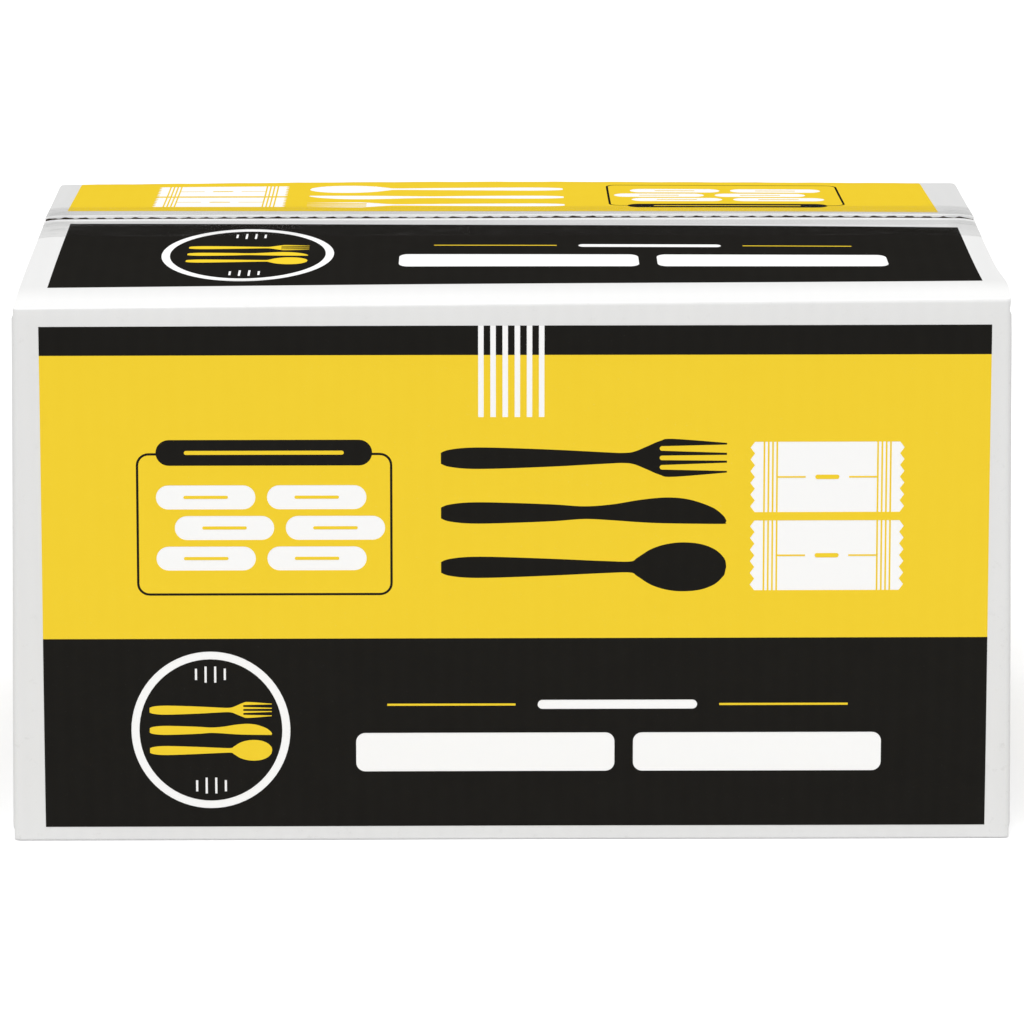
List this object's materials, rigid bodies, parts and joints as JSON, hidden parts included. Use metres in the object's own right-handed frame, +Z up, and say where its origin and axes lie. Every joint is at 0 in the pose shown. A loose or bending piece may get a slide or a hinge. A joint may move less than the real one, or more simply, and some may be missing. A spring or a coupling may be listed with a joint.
{
  "type": "printed corrugated carton",
  "caption": "Sealed white corrugated shipping carton of wrapped plastic cutlery, printed yellow and black, taped along its top and bottom seams.",
  "frame": {"origin": "middle of the carton's footprint, on the surface it stands on", "axes": "+X along the carton's length, +Z up, with the printed front facing -Y"},
  "size_m": [0.5454, 0.31, 0.3157],
  "materials": {
    "white_board": "white-faced corrugated board, matt",
    "yellow_ink": "flat yellow water-based ink",
    "black_ink": "flat black water-based ink",
    "clear_tape": "clear glossy film"
  },
  "bodies": {
    "root": {"carton": "white_board", "top_tape": "clear_tape", "bottom_tape": "clear_tape"}
  },
  "joints": []
}
